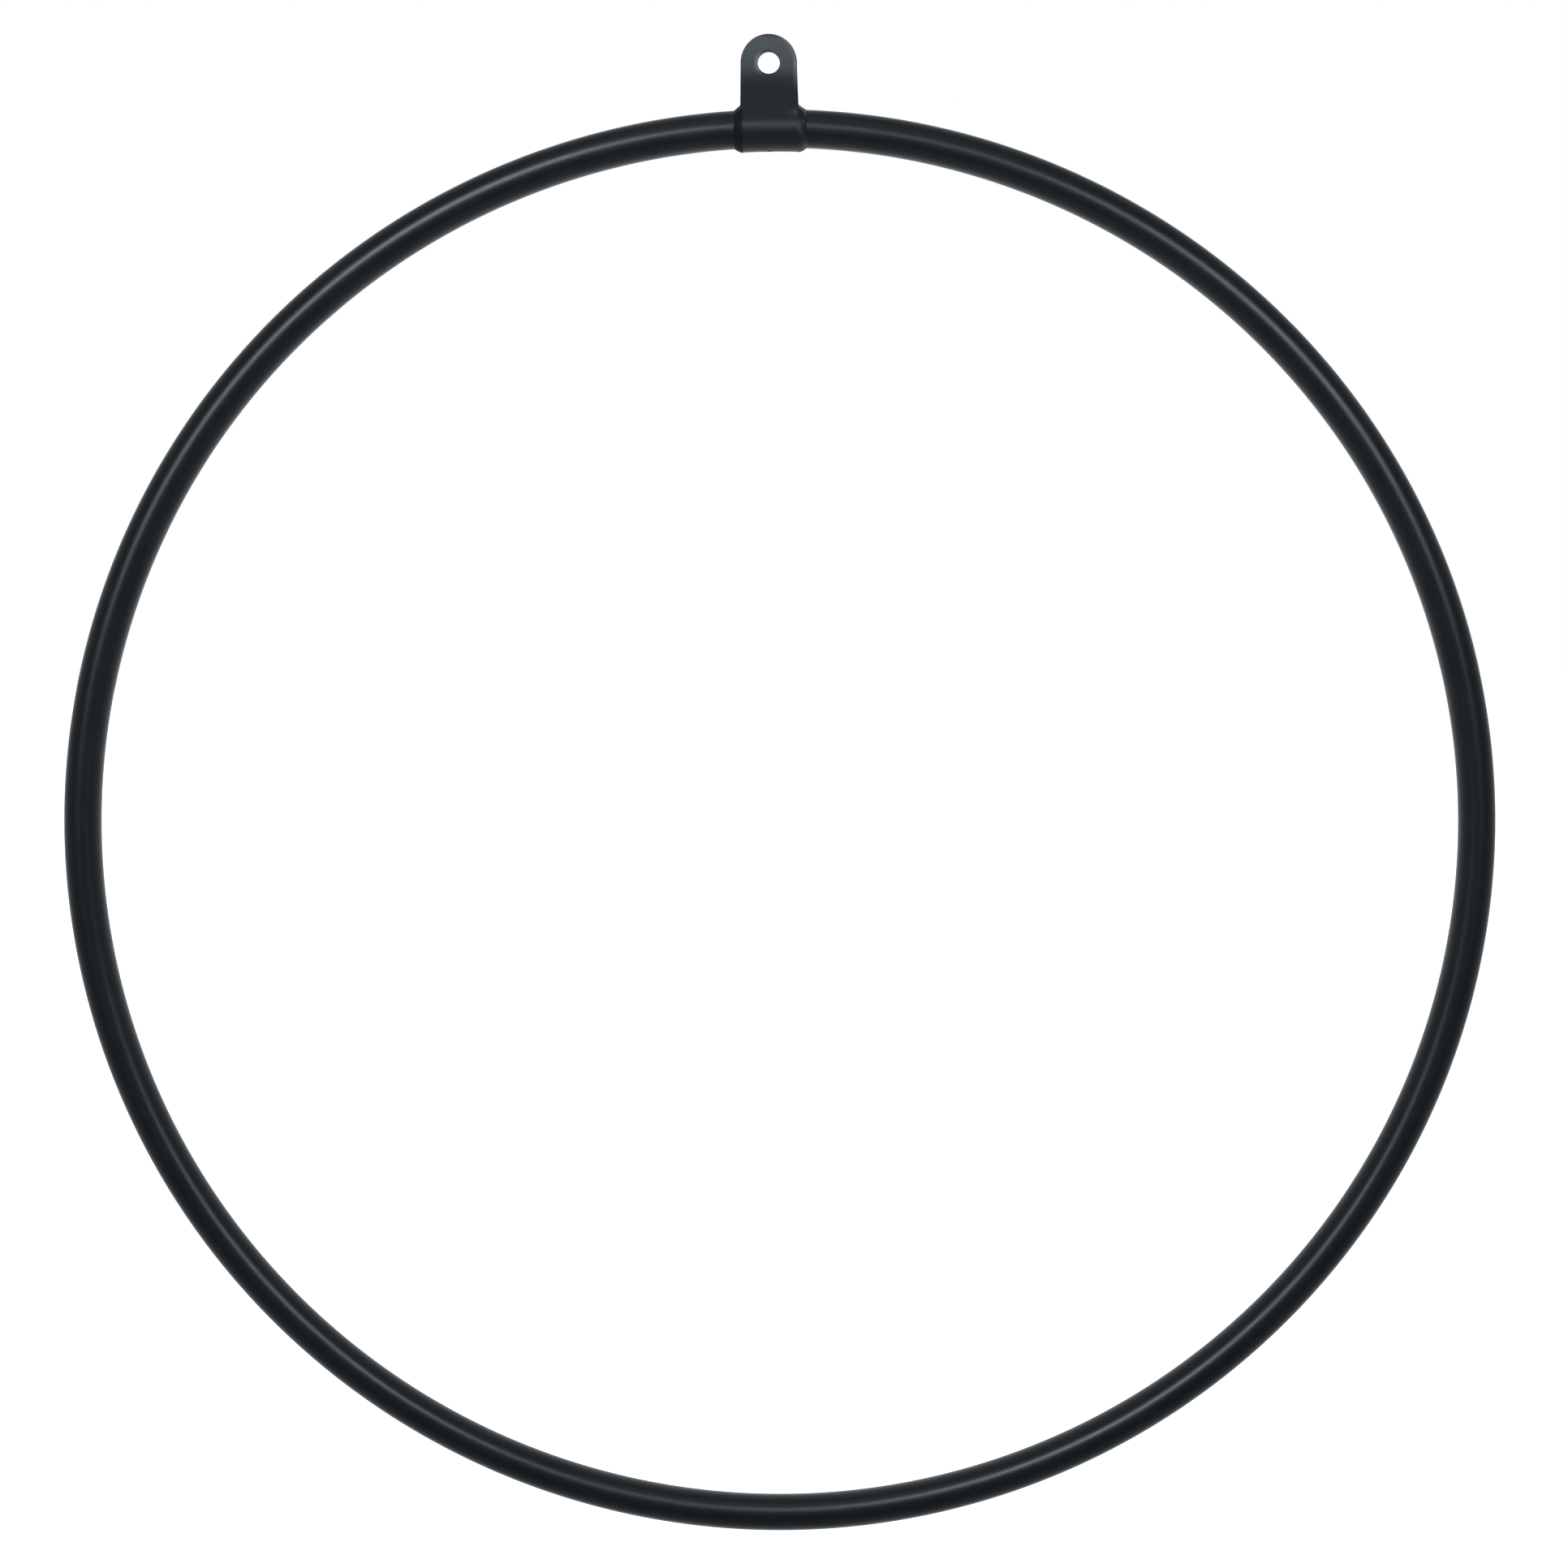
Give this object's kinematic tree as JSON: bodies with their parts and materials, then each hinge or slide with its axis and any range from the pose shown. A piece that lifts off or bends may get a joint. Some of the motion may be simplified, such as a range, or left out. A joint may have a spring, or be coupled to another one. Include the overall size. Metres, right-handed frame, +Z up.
{
  "type": "aerial hoop",
  "caption": "Round steel tube ring, powder coated black, with a folded strap welded round its top as a tab with a hang hole.",
  "frame": {"origin": "centre of the hang hole, midway between the tab's two faces", "axes": "+Z up, towards the top of the tab; +Y along the hang hole, from the front face to the back face; +X to the right as seen from the front; the hoop lies in the XZ plane"},
  "size_m": [0.9998, 0.0304, 1.0496],
  "materials": {
    "coated_tube": "satin black powder coat with fine orange peel",
    "coated_strap": "satin black powder coat, slightly smoother and greyer on the flat tab",
    "coated_weld": "black powder coat over a rippled weld bead",
    "bare_steel": "bare drawn steel with a light oil film, inside the tube",
    "weld_metal": "bare weld metal, ground flush, hidden under the strap"
  },
  "bodies": {
    "root": {"hoop_tube": "coated_tube", "joint_sleeve": "bare_steel", "butt_weld": "weld_metal", "hanger_strap": "coated_strap", "strap_weld_left": "coated_weld", "strap_weld_right": "coated_weld", "gap_weld_left": "coated_weld", "gap_weld_right": "coated_weld", "tab_seam_weld": "coated_weld"}
  },
  "joints": []
}
